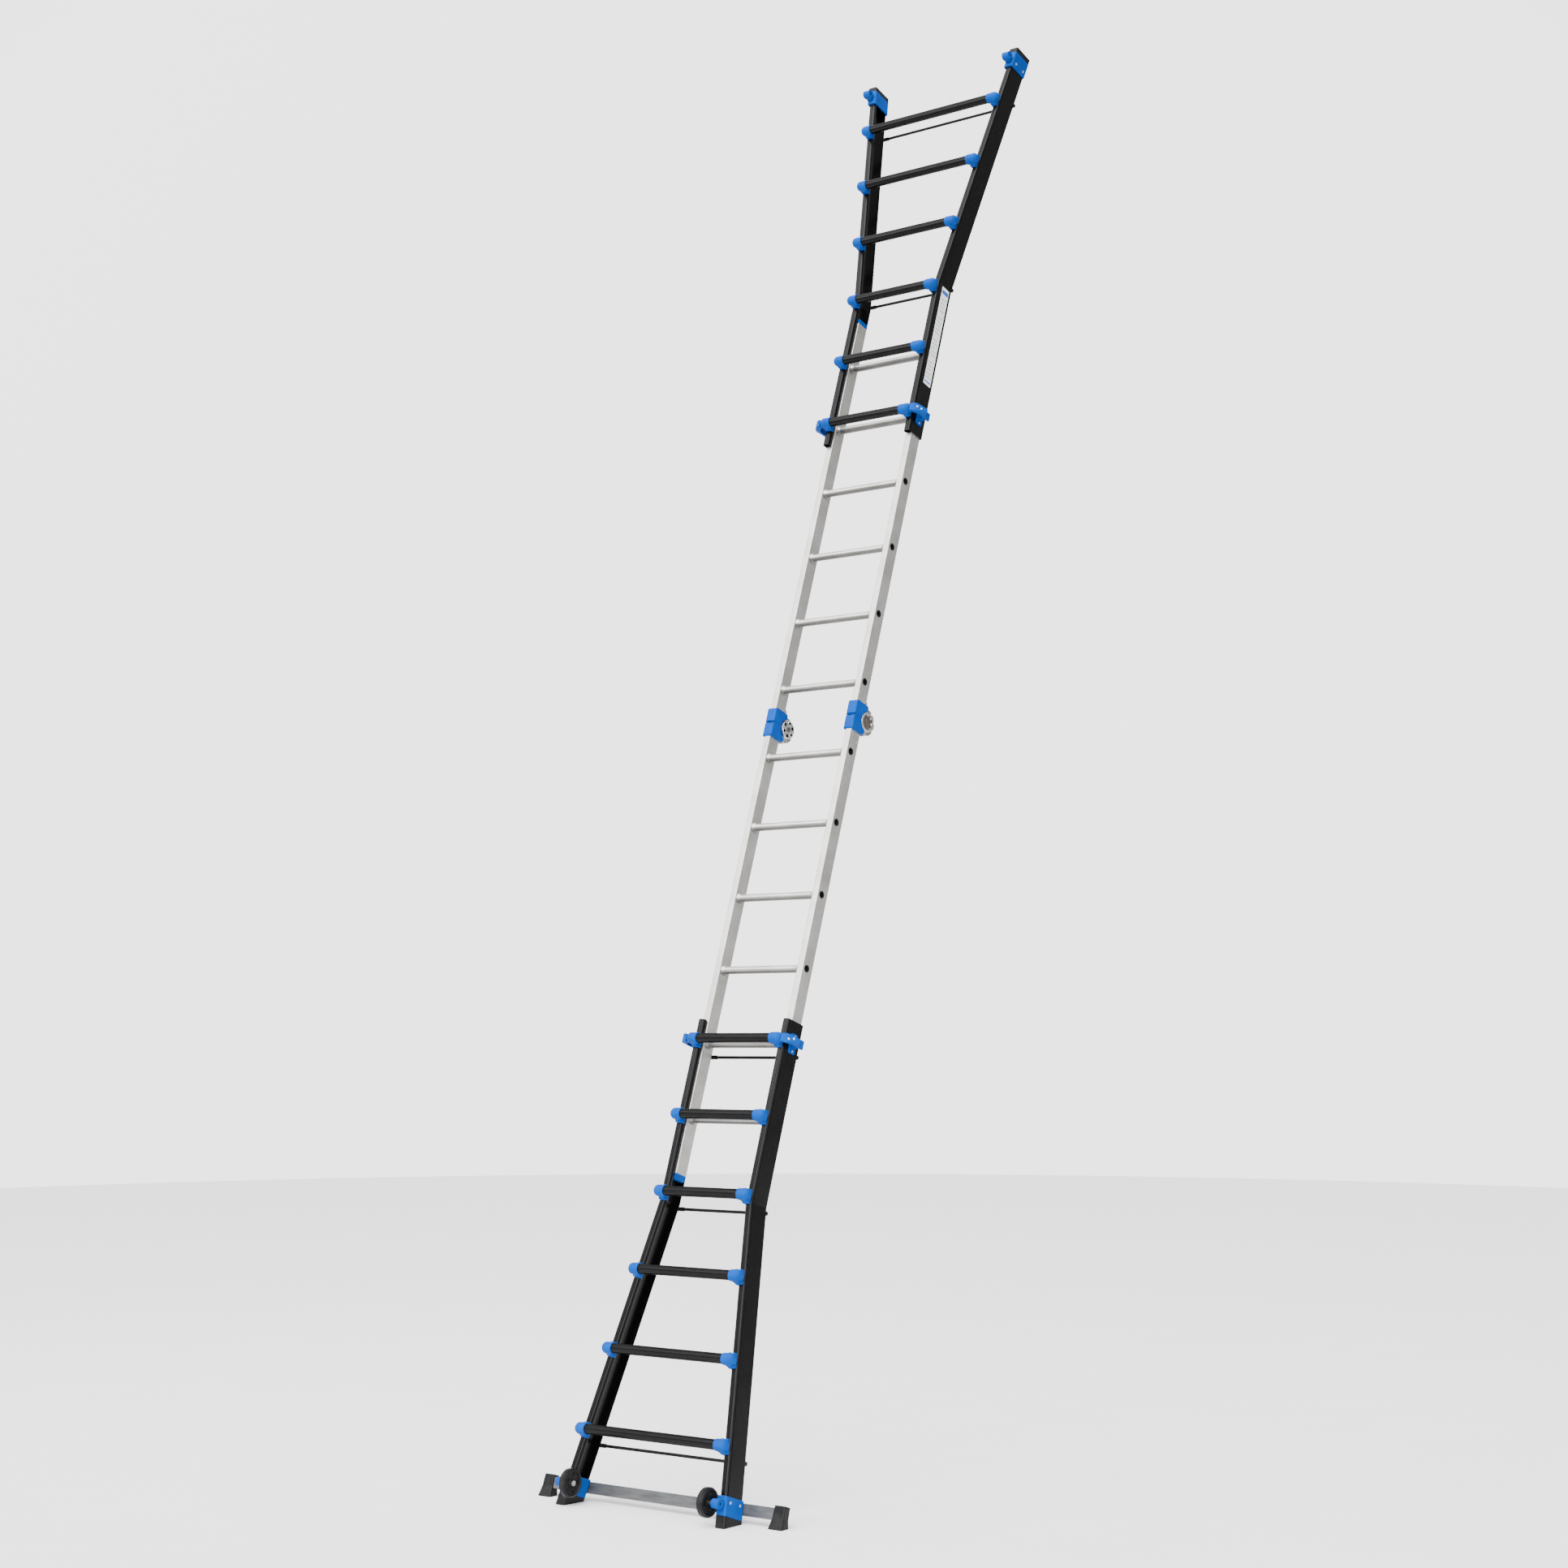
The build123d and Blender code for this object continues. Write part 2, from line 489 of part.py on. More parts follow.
# -------------------------------------------------------------------- export
def export_outer_section(half, envelope):
    name = half
    foot_name = "top_pad" if half == UP else "foot"
    rungs = [outer_rung(s) for s in OUTER_RUNGS]
    export(Compound(children=[r.solids()[0] for r in rungs]), f"{name}_outer_rungs", half)
    sockets = [rung_socket(s, envelope) for s in OUTER_RUNGS]
    sockets = Compound(children=[solid for part in sockets for solid in part.solids()])
    export(both_sides(sockets), f"{name}_rung_sockets", half)
    rods = [tie_rod(OUTER_RUNGS[i] + ROD_OFFSET) for i in ROD_RUNGS]
    export(Compound(children=[r.solids()[0] for r in rods]), f"{name}_tie_rods", half)
    export(both_sides(lock_housing()), f"{name}_lock_housings", half)
    export(both_sides(lock_screws()), f"{name}_lock_screws", half)
    stile, collar = outer_stile(), end_collar(envelope)
    foot = rubber_pad() if half == UP else rubber_foot()
    lever, pin = lock_lever(), lock_pin()
    for side in (LEFT, RIGHT):
        export(stile, f"{name}_outer_stile_{side}", half, side)
        export(collar, f"{name}_end_collar_{side}", half, side)
        export(foot, f"{foot_name}_{side}", half, side)
        export(lever, f"{name}_lock_lever_{side}", half, side)
        export(pin, f"{name}_lock_pin_{side}", half, side)


def export_inner_section(half):
    name = half
    rungs = [inner_rung(s) for s in INNER_RUNGS]
    export(Compound(children=[r.solids()[0] for r in rungs]), f"{name}_inner_rungs", half)
    export(both_sides(inner_plug()), f"{name}_stile_plugs", half)
    stile, cover = inner_stile(), hinge_cover()
    casting = hinge_tongue() if half == UP else hinge_fork()
    casting_name = "hinge_tongue" if half == UP else "hinge_fork"
    for side in (LEFT, RIGHT):
        export(stile, f"{name}_inner_stile_{side}", half, side)
        export(cover, f"{name}_hinge_cover_{side}", half, side)
        export(casting, f"{casting_name}_{side}", half, side)


def export_base():
    """Wheels and stabiliser bar, at the ladder's foot."""
    export(stabiliser_bar(), "stabiliser_bar", DOWN)
    export(both_sides(bar_bolt()), "stabiliser_bolts", DOWN)
    export(both_sides(wheel_axle()), "wheel_axles", DOWN)
    for side in (LEFT, RIGHT):
        export(wheel(), f"wheel_{side}", DOWN, side)
        export(stabiliser_boot(), f"stabiliser_boot_{side}", DOWN, side)


def main():
    os.makedirs("parts", exist_ok=True)
    envelope = outer_envelope()
    for half in (DOWN, UP):
        export_outer_section(half, envelope)
        export_inner_section(half)
    export_base()
    export(both_sides(hinge_ring()), "hinge_rings")
    export(both_sides(hinge_pin()), "hinge_pins")
    export(both_sides(release_bracket()), "release_brackets")
    for side in (LEFT, RIGHT):
        export(release_lever(), f"hinge_release_{side}", UP, side)
    export(label(), "label")


main()
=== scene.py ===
import json
import math

import bmesh
import bpy
from mathutils import Matrix, Vector


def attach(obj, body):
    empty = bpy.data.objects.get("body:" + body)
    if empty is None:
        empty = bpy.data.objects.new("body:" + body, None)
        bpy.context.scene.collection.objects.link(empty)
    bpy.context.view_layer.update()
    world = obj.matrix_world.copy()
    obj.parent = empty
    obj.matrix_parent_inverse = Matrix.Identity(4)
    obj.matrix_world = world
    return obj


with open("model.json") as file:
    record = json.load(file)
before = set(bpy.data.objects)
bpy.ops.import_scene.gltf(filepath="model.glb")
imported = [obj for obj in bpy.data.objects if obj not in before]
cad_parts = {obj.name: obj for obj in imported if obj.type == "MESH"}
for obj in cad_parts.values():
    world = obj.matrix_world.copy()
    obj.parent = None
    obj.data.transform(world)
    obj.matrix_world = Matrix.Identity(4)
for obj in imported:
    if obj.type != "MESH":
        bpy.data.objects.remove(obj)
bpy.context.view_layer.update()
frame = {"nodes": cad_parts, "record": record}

# ------------------------------------------------------- the ladder's own axes
# The same lean and floor distance as the CAD, in metres. LADDER turns a point
# (x, depth, s) of the upright ladder into a point of the shared frame.
LEAN = math.radians(18.36)
FLOOR_S = 2.902
LADDER = (Matrix.Translation((0, FLOOR_S * math.sin(LEAN), FLOOR_S * math.cos(LEAN)))
          @ Matrix.Rotation(-LEAN, 4, "X"))

PITCH = 0.280                   # rung spacing
INNER_RUNGS = [0.140 + PITCH * i for i in range(6)]
KINK_S, FLARE = 1.840, 0.148    # where the outer stile turns outwards, and how much
INNER_OUT_X = 0.203             # outer face of the inner stile
OUTER_OUT_X = 0.208             # outer face of the outer stile
COLLAR_OUT_X = 0.2135           # outer face of the end collar, before the flare
PIVOT_D = 0.054                 # depth of the hinge axis
HINGE_PLATE_X = 0.2065          # floor of the dish in the hinge's ring
DISC_X = 0.160                  # inner face of the lock disc
DISC_POCKET_R = 0.025           # circle that the disc's pockets lie on
HALVES = {"lower": -1, "upper": 1}
SIDES = {"left": -1, "right": 1}


def splay(s):
    """How far the outer stile has run outwards at a distance s from the hinge."""
    return max(0.0, abs(s) - KINK_S) * FLARE


# -------------------------------------------------------------------- materials
class Nodes:
    """Short helpers for building one material's node tree."""

    def __init__(self, name):
        self.material = bpy.data.materials.new(name)
        self.material.use_nodes = True
        self.tree = self.material.node_tree
        self.shader = self.tree.nodes["Principled BSDF"]
        coordinates = self.tree.nodes.new("ShaderNodeTexCoord")
        turn = self.tree.nodes.new("ShaderNodeMapping")
        turn.inputs["Rotation"].default_value = (LEAN, 0, 0)
        self.link(coordinates.outputs["Object"], turn.inputs["Vector"])
        self.upright = turn.outputs["Vector"]

    def link(self, output, socket):
        self.tree.links.new(output, socket)

    def scaled(self, x, y, z):
        """Coordinates scaled along x, depth and length; a small number stretches the pattern."""
        node = self.tree.nodes.new("ShaderNodeMapping")
        node.inputs["Scale"].default_value = (x, y, z)
        self.link(self.upright, node.inputs["Vector"])
        return node.outputs["Vector"]

    def noise(self, vector, scale, detail=4.0, rough=0.5):
        """Fractal noise, scale cells to the metre, as a value from 0 to 1."""
        node = self.tree.nodes.new("ShaderNodeTexNoise")
        node.inputs["Scale"].default_value = scale
        node.inputs["Detail"].default_value = detail
        node.inputs["Roughness"].default_value = rough
        self.link(vector, node.inputs["Vector"])
        return node.outputs["Fac"]

    def ramp(self, value, low, high, start=0.3, end=0.7):
        """Map a value between start and end to the range from low to high."""
        node = self.tree.nodes.new("ShaderNodeMapRange")
        node.inputs["From Min"].default_value = start
        node.inputs["From Max"].default_value = end
        node.inputs["To Min"].default_value = low
        node.inputs["To Max"].default_value = high
        self.link(value, node.inputs["Value"])
        return node.outputs["Result"]

    def blend(self, factor, dark, light):
        """Mix two colours."""
        node = self.tree.nodes.new("ShaderNodeMix")
        node.data_type = "RGBA"
        node.inputs["A"].default_value = (*dark, 1)
        node.inputs["B"].default_value = (*light, 1)
        self.link(factor, node.inputs["Factor"])
        return node.outputs["Result"]

    def bump(self, height, strength, distance, after=None):
        """Surface relief, laid over another relief if one is given."""
        node = self.tree.nodes.new("ShaderNodeBump")
        node.inputs["Strength"].default_value = strength
        node.inputs["Distance"].default_value = distance
        self.link(height, node.inputs["Height"])
        if after is not None:
            self.link(after, node.inputs["Normal"])
        return node.outputs["Normal"]

    def painted_shade_below(self, colour, low, high, level):
        """Painted shade on faces that look down: the colour is multiplied by level there."""
        coordinates = self.tree.nodes.new("ShaderNodeTexCoord")
        split = self.tree.nodes.new("ShaderNodeSeparateXYZ")
        self.link(coordinates.outputs["Normal"], split.inputs["Vector"])
        ramp = self.tree.nodes.new("ShaderNodeMapRange")
        ramp.interpolation_type = "SMOOTHSTEP"
        ramp.inputs["From Min"].default_value = low
        ramp.inputs["From Max"].default_value = high
        ramp.inputs["To Min"].default_value = level
        self.link(split.outputs["Z"], ramp.inputs["Value"])
        scale = self.tree.nodes.new("ShaderNodeVectorMath")
        scale.operation = "SCALE"
        self.link(colour, scale.inputs["Vector"])
        self.link(ramp.outputs["Result"], scale.inputs["Scale"])
        return scale.outputs["Vector"]

    def finish(self, colour, roughness, normal, metallic=0.0, specular=0.5):
        """Connect the shader and hand back the material."""
        self.link(colour, self.shader.inputs["Base Color"])
        self.link(roughness, self.shader.inputs["Roughness"])
        self.link(normal, self.shader.inputs["Normal"])
        self.shader.inputs["Metallic"].default_value = metallic
        self.shader.inputs["Specular IOR Level"].default_value = specular
        return self.material


def black_coat():
    """Satin powder coat: fine orange peel, faint handling marks along the length."""
    n = Nodes("black_coat")
    peel = n.noise(n.upright, 900, 3)
    marks = n.noise(n.scaled(60, 60, 2.5), 6, 6, 0.65)
    patches = n.noise(n.upright, 7, 4)
    colour = n.blend(n.ramp(marks, 0, 1, 0.45, 0.8),
                     (0.0015, 0.0015, 0.0018), (0.008, 0.008, 0.009))
    rough = n.ramp(patches, 0.20, 0.28)
    return n.finish(colour, rough, n.bump(peel, 0.10, 0.0004), specular=0.14)


def ribbed_black():
    """The same coat on the outer rungs, worn a little paler in streaks along them."""
    n = Nodes("ribbed_black")
    grain = n.noise(n.upright, 700, 3)
    wear = n.noise(n.scaled(3, 40, 40), 8, 5, 0.6)
    colour = n.blend(n.ramp(wear, 0, 1, 0.5, 0.85),
                     (0.002, 0.002, 0.0024), (0.010, 0.010, 0.011))
    return n.finish(colour, n.ramp(wear, 0.26, 0.36), n.bump(grain, 0.12, 0.0004), specular=0.13)


def mill_aluminium(name="mill_aluminium", across=False):
    """Drawn aluminium: die lines along the profile, soft grey clouds, small scuffs.

    The rungs' version runs across the ladder, with painted shade on their undersides.
    """
    n = Nodes(name)
    line_stretch = (3, 700, 700) if across else (700, 700, 3)
    scuff_stretch = (14, 60, 60) if across else (40, 90, 14)
    lines = n.noise(n.scaled(*line_stretch), 1.0, 5, 0.6)
    clouds = n.noise(n.upright, 9, 5, 0.6)
    scuffs = n.noise(n.scaled(*scuff_stretch), 9, 8, 0.72)
    tone = n.blend(n.ramp(clouds, 0, 1), (0.43, 0.42, 0.395), (0.60, 0.59, 0.565))
    scuffed = n.tree.nodes.new("ShaderNodeMix")
    scuffed.data_type = "RGBA"
    scuffed.inputs["B"].default_value = (0.33, 0.325, 0.31, 1)
    n.link(n.ramp(scuffs, 0, 0.75, 0.6, 0.8), scuffed.inputs["Factor"])
    n.link(tone, scuffed.inputs["A"])
    rough = n.ramp(lines, 0.30, 0.50, 0.25, 0.75)
    normal = n.bump(lines, 0.22, 0.0003)
    normal = n.bump(scuffs, 0.10, 0.0006, normal)
    colour = scuffed.outputs["Result"]
    if across:
        # Painted shade: rung faces that look down are darkened to 0.22 of their colour.
        colour = n.painted_shade_below(colour, -0.55, 0.25, 0.22)
    return n.finish(colour, rough, normal, metallic=0.82)


def cast_aluminium():
    """Grainy warm grey casting with darker stains."""
    n = Nodes("cast_aluminium")
    grain = n.noise(n.upright, 420, 5, 0.7)
    stains = n.noise(n.upright, 45, 5)
    colour = n.blend(n.ramp(stains, 0, 1), (0.30, 0.285, 0.26), (0.52, 0.50, 0.47))
    return n.finish(colour, n.ramp(stains, 0.38, 0.58), n.bump(grain, 0.35, 0.0006), metallic=0.9)


def blue_plastic():
    """Moulded nylon: even azure, fine spark texture, slightly paler and duller in patches."""
    n = Nodes("blue_plastic")
    spark = n.noise(n.upright, 1300, 2)
    flow = n.noise(n.upright, 22, 4)
    colour = n.blend(n.ramp(flow, 0, 1), (0.0, 0.050, 0.28), (0.0, 0.064, 0.34))
    return n.finish(colour, n.ramp(flow, 0.46, 0.58), n.bump(spark, 0.16, 0.0003), specular=0.045)


def black_rubber():
    """Matt rubber, a little dusty."""
    n = Nodes("black_rubber")
    pores = n.noise(n.upright, 600, 5, 0.7)
    dust = n.noise(n.upright, 30, 5, 0.6)
    colour = n.blend(n.ramp(dust, 0, 1, 0.45, 0.8), (0.004, 0.004, 0.0045), (0.016, 0.016, 0.016))
    return n.finish(colour, n.ramp(dust, 0.38, 0.55), n.bump(pores, 0.3, 0.0005), specular=0.16)


def zinc_steel():
    """Bright plated steel with a faint spangle."""
    n = Nodes("zinc_steel")
    spangle = n.noise(n.upright, 160, 5)
    fine = n.noise(n.upright, 1500, 3)
    colour = n.blend(n.ramp(spangle, 0, 1), (0.60, 0.61, 0.62), (0.78, 0.79, 0.80))
    return n.finish(colour, n.ramp(spangle, 0.20, 0.36), n.bump(fine, 0.1, 0.0002), metallic=1.0)


def dark_bar():
    """Dark grey paint with fine streaks along the bar."""
    n = Nodes("dark_bar")
    streaks = n.noise(n.scaled(5, 500, 500), 1.0, 5, 0.6)
    patches = n.noise(n.scaled(2, 12, 12), 6, 4)
    colour = n.blend(n.ramp(patches, 0, 1), (0.055, 0.058, 0.062), (0.11, 0.113, 0.118))
    return n.finish(colour, n.ramp(streaks, 0.30, 0.46), n.bump(streaks, 0.25, 0.0004),
                    metallic=0.45, specular=0.6)


def black_steel():
    """Painted steel rod."""
    n = Nodes("black_steel")
    grain = n.noise(n.upright, 500, 4)
    tone = n.noise(n.upright, 25, 4)
    colour = n.blend(n.ramp(tone, 0, 1), (0.002, 0.002, 0.002), (0.007, 0.007, 0.008))
    return n.finish(colour, n.ramp(tone, 0.34, 0.48), n.bump(grain, 0.12, 0.0004), specular=0.10)


def plain_film(name, dark, light):
    """Printed film, faintly mottled."""
    n = Nodes(name)
    mottle = n.noise(n.upright, 60, 4)
    fine = n.noise(n.upright, 900, 2)
    colour = n.blend(n.ramp(mottle, 0, 1), dark, light)
    return n.finish(colour, n.ramp(mottle, 0.35, 0.5), n.bump(fine, 0.06, 0.0002), specular=0.5)


def pale_floor():
    """Matt studio floor, almost white."""
    n = Nodes("pale_floor")
    grain = n.noise(n.upright, 3, 4)
    colour = n.blend(n.ramp(grain, 0, 1), (0.90, 0.90, 0.90), (0.92, 0.92, 0.92))
    return n.finish(colour, n.ramp(grain, 0.85, 0.95), n.bump(grain, 0.02, 0.001), specular=0.1)


MATERIALS = {
    "black_coat": black_coat(),
    "black_steel": black_steel(),
    "mill_aluminium": mill_aluminium(),
    "cast_aluminium": cast_aluminium(),
    "blue_plastic": blue_plastic(),
    "black_rubber": black_rubber(),
    "zinc_steel": zinc_steel(),
    "dark_bar": dark_bar(),
    "label_film": plain_film("label_film", (0.82, 0.83, 0.85), (0.90, 0.91, 0.93)),
}
RIBBED_BLACK = ribbed_black()
RUNG_ALUMINIUM = mill_aluminium("rung_aluminium", across=True)
LABEL_BLUE = plain_film("label_blue", (0.0, 0.09, 0.42), (0.0, 0.12, 0.52))
LABEL_GREY = plain_film("label_grey", (0.20, 0.21, 0.22), (0.27, 0.28, 0.29))
DARK_BRONZE = plain_film("dark_bronze", (0.030, 0.022, 0.018), (0.075, 0.060, 0.050))
# Near-black film painted into rung ends and pocket floors: painted shade of those hollows.
PAINTED_HOLLOW_SHADE = plain_film("painted_hollow_shade", (0.004, 0.004, 0.004), (0.008, 0.008, 0.008))


def dress_cad():
    """Give each CAD node its procedural material and smooth shading on its round faces."""
    slots = {row["node"]: row["material_slot"] for row in frame["record"]["subparts"]}
    for name, obj in frame["nodes"].items():
        material = MATERIALS[slots[name]]
        if name.endswith("outer_rungs"):
            material = RIBBED_BLACK
        if name.endswith("inner_rungs"):
            material = RUNG_ALUMINIUM
        if name == "hinge_pins":
            material = DARK_BRONZE
        if not obj.material_slots:
            obj.data.materials.append(material)
        for slot in obj.material_slots:
            slot.material = material
        smooth(obj, 32)


# ----------------------------------------------------------------- mesh helpers
def new_piece(name, bm, material, body):
    """Turn a bmesh drawn in ladder coordinates into a piece that rides on a body."""
    bmesh.ops.recalc_face_normals(bm, faces=bm.faces)
    mesh = bpy.data.meshes.new(name)
    bm.to_mesh(mesh)
    bm.free()
    mesh.transform(LADDER)
    mesh.materials.append(material)
    obj = bpy.data.objects.new(name, mesh)
    bpy.context.scene.collection.objects.link(obj)
    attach(obj, body)
    return obj


def stitch(bm, rings):
    """Join each ring of vertices to the next with a band of faces."""
    for r0, r1 in zip(rings, rings[1:]):
        for i in range(len(r0)):
            j = (i + 1) % len(r0)
            bm.faces.new((r0[i], r0[j], r1[j], r1[i]))


def turned(bm, profile, centre, out, steps=32):
    """Spin a profile of (distance along out, radius) points about the axis through centre."""
    across = Vector((-out.y, out.x, 0))
    rise = Vector((0, 0, 1))
    rings = []
    for along, radius in profile:
        ring = []
        for i in range(steps):
            a = 2 * math.pi * i / steps
            spoke = across * math.cos(a) + rise * math.sin(a)
            ring.append(bm.verts.new(Vector(centre) + out * along + spoke * radius))
        rings.append(ring)
    stitch(bm, rings)
    return rings


def capped(bm, profile, centre, out, steps):
    """A turned shape with both ends closed."""
    rings = turned(bm, profile, centre, out, steps)
    bm.faces.new(rings[0])
    bm.faces.new(rings[-1])


def outwards(side):
    """The direction away from the ladder's middle on one side."""
    return Vector((SIDES[side], 0, 0))


def smooth(obj, angle=40):
    """Smooth shading that keeps edges sharper than the angle."""
    for polygon in obj.data.polygons:
        polygon.use_smooth = True
    obj.data.set_sharp_from_angle(angle=math.radians(angle))


# -------------------------------------------------------------- small hardware
RIVET_R, RIVET_HEIGHT = 0.0035, 0.0011
RIVET_PLACES = [(depth, s) for s in (0.066, 0.096) for depth in (-0.010, 0.022)]
COLLAR_SCREW_PLACES = ((-0.030, 2.833), (0.022, 2.833))
COLLAR_SCREW = ((-0.0008, 0.0050), (0.0010, 0.0050), (0.0018, 0.0042), (0.0022, 0.0026),
                (0.0022, 0.0016), (0.0012, 0.0014), (0.0010, 0.0002))
LEVER_SCREW_PLACES = ((0.2425, -0.0668, 1.2625), (0.2535, -0.0530, 1.2580))
LEVER_SCREW = ((-0.0015, 0.0040), (0.0006, 0.0040), (0.0014, 0.0032), (0.0017, 0.0016),
               (0.0010, 0.0014))
RUNG_MOUTH = ((-0.0060, 0.0110), (0.0002, 0.0112), (0.0006, 0.0120), (0.0006, 0.0138),
              (0.0000, 0.0143))
RUNG_SHADE_CUP = ((-0.0060, 0.0112), (-0.007, 0.0108), (-0.030, 0.0104), (-0.031, 0.0098),
             (-0.031, 0.0004))


def rivet_profile():
    """A short straight edge, then a dome."""
    edge = 0.35
    profile = [(0, RIVET_R), (RIVET_HEIGHT * edge, RIVET_R)]
    for i in range(1, 5):
        a = math.pi / 2 * i / 5
        lift = edge + (1 - edge) * math.sin(a)
        profile.append((RIVET_HEIGHT * lift, RIVET_R * math.cos(a)))
    return profile


def stile_rivets(half, side):
    """Rivets through the inner stile into the hinge casting."""
    bm = bmesh.new()
    for depth, s in RIVET_PLACES:
        centre = (SIDES[side] * INNER_OUT_X, depth, HALVES[half] * s)
        capped(bm, rivet_profile(), centre, outwards(side), 20)
    piece = new_piece(f"{half}_stile_rivets_{side}", bm, MATERIALS["zinc_steel"],
                      f"{half}_inner")
    smooth(piece)


def collar_screws(half, side):
    """Screws with a hollow drive on the outer face of the end collar."""
    bm = bmesh.new()
    for depth, s in COLLAR_SCREW_PLACES:
        centre = (SIDES[side] * (COLLAR_OUT_X + splay(s)), depth, HALVES[half] * s)
        capped(bm, COLLAR_SCREW, centre, outwards(side), 20)
    piece = new_piece(f"{half}_collar_screws_{side}", bm, MATERIALS["zinc_steel"],
                      f"{half}_outer")
    smooth(piece)


def rung_mouths(half, side):
    """Rims painted near-black where the inner rungs open on the stile's outer face: painted shade
    that makes the open ends read as dark holes.
    """
    bm = bmesh.new()
    for s in INNER_RUNGS:
        centre = (SIDES[side] * INNER_OUT_X, 0, HALVES[half] * s)
        turned(bm, RUNG_MOUTH, centre, outwards(side))
    piece = new_piece(f"{half}_rung_mouths_{side}", bm, PAINTED_HOLLOW_SHADE,
                      f"{half}_inner")
    smooth(piece, 60)


def rung_shade_cups(half, side):
    """Cups painted near-black a little way inside the inner rungs: painted shade in the open rung
    ends.
    """
    bm = bmesh.new()
    for s in INNER_RUNGS:
        centre = (SIDES[side] * INNER_OUT_X, 0, HALVES[half] * s)
        rings = turned(bm, RUNG_SHADE_CUP, centre, outwards(side), 28)
        bm.faces.new(rings[-1])
    piece = new_piece(f"{half}_rung_shade_cups_{side}", bm, PAINTED_HOLLOW_SHADE,
                      f"{half}_inner")
    smooth(piece, 60)


def lever_screws(half, side):
    """Two bright screw heads on the lock lever's arm, square to its slanted face."""
    bm = bmesh.new()
    out = Vector((SIDES[side] * 0.80, -0.60, 0))
    for x, depth, s in LEVER_SCREW_PLACES:
        capped(bm, LEVER_SCREW, (SIDES[side] * x, depth, HALVES[half] * s), out, 18)
    piece = new_piece(f"{half}_lever_screws_{side}", bm, MATERIALS["zinc_steel"],
                      f"{half}_lock_{side}")
    smooth(piece)


# --------------------------------------------------------------- label's print
def print_block(bm, d0, d1, s0, s1):
    """A thin printed block on the label, given by its depth and length ranges."""
    face = OUTER_OUT_X + 0.0006
    corners = [(x, d, s) for x in (face, face + 0.0003) for d in (d0, d1) for s in (s0, s1)]
    v = [bm.verts.new(c) for c in corners]
    for quad in ((0, 1, 3, 2), (4, 6, 7, 5), (0, 4, 5, 1),
                 (2, 3, 7, 6), (0, 2, 6, 4), (1, 5, 7, 3)):
        bm.faces.new([v[i] for i in quad])


def label_marks():
    """Thin blank rules in groups of five, and two small panels; no words."""
    bm = bmesh.new()
    print_block(bm, -0.0165, 0.0225, 1.806, 1.822)
    print_block(bm, -0.0165, 0.0225, 1.412, 1.418)
    new_piece("label_panels", bm, LABEL_BLUE, "upper_outer")
    bm = bmesh.new()
    for i in range(22):
        s = 1.434 + i * 0.0165
        if i % 6 != 5:
            print_block(bm, -0.014, 0.019 - 0.005 * (i % 3), s, s + 0.0028)
    new_piece("label_rules", bm, LABEL_GREY, "upper_outer")


# ---------------------------------------------------------------- hinge detail
def hinge_face(side):
    """Dark plate inside the hinge's bright ring, with eight notches in its rim."""
    bm = bmesh.new()
    sign = SIDES[side]
    steps = 96
    rings = []
    for radius, lift in ((0.0118, 0.0002), (0.0122, 0.0012), (0.0265, 0.0014), (0.0274, 0.0002)):
        ring = []
        for i in range(steps):
            a = 2 * math.pi * i / steps
            notch = 0.0016 if radius > 0.02 and i % 12 < 4 else 0.0
            r = radius - 1.8 * notch
            x = HINGE_PLATE_X + max(0.0002, lift - 0.5 * notch)
            ring.append(bm.verts.new((sign * x, PIVOT_D + r * math.cos(a), r * math.sin(a))))
        rings.append(ring)
    stitch(bm, rings)
    piece = new_piece(f"hinge_face_{side}", bm, DARK_BRONZE, "lower_inner")
    smooth(piece)


POCKET_FLOOR = ((0.0040, 0.0069), (0.0100, 0.0068), (0.0116, 0.0060), (0.0117, 0.0004))
POCKET_BUSH = ((0.0036, 0.0068), (-0.0006, 0.0070), (-0.0010, 0.0076), (0.0002, 0.0084))


def disc_pockets(side):
    """Floors painted near-black in the lock disc's six pockets as painted shade, and a bright
    bush in every second one.
    """
    floors, bushes = bmesh.new(), bmesh.new()
    for i in range(6):
        a = math.radians(30 + 60 * i)
        centre = (SIDES[side] * DISC_X, PIVOT_D + DISC_POCKET_R * math.cos(a),
                  DISC_POCKET_R * math.sin(a))
        rings = turned(floors, POCKET_FLOOR, centre, outwards(side), 24)
        floors.faces.new(rings[-1])
        if i % 2:
            turned(bushes, POCKET_BUSH, centre, outwards(side), 24)
    piece = new_piece(f"lock_disc_pockets_{side}", floors, PAINTED_HOLLOW_SHADE,
                      "lower_inner")
    smooth(piece)
    piece = new_piece(f"lock_disc_bushes_{side}", bushes, MATERIALS["zinc_steel"],
                      "lower_inner")
    smooth(piece)


COVER_LIP = ((0.1684, 0.0195), (0.1684, -0.0250), (0.1710, -0.0276), (0.2070, -0.0276),
             (0.2096, -0.0250), (0.2096, 0.0160), (0.2070, 0.0160), (0.2070, -0.0246),
             (0.1712, -0.0246), (0.1712, 0.0195))


def cover_seam(side):
    """Thin lip on the lower cover that closes most of the seam between the covers."""
    bm = bmesh.new()
    bottom = [bm.verts.new((SIDES[side] * x, d, -0.0012)) for x, d in COVER_LIP]
    top = [bm.verts.new((SIDES[side] * x, d, 0.0004)) for x, d in COVER_LIP]
    stitch(bm, [bottom, top])
    bm.faces.new(top)
    bm.faces.new(bottom[::-1])
    new_piece(f"cover_seam_{side}", bm, MATERIALS["blue_plastic"], "lower_inner")


def add_hardware():
    for half in HALVES:
        for side in SIDES:
            stile_rivets(half, side)
            collar_screws(half, side)
            rung_mouths(half, side)
            rung_shade_cups(half, side)
            lever_screws(half, side)
    for side in SIDES:
        hinge_face(side)
        disc_pockets(side)
        cover_seam(side)
    label_marks()


# ------------------------------------------------------------ camera and light
def aim(obj, target):
    """Turn a camera or light to look at a point."""
    obj.rotation_euler = (Vector(target) - obj.location).to_track_quat("-Z", "Y").to_euler()


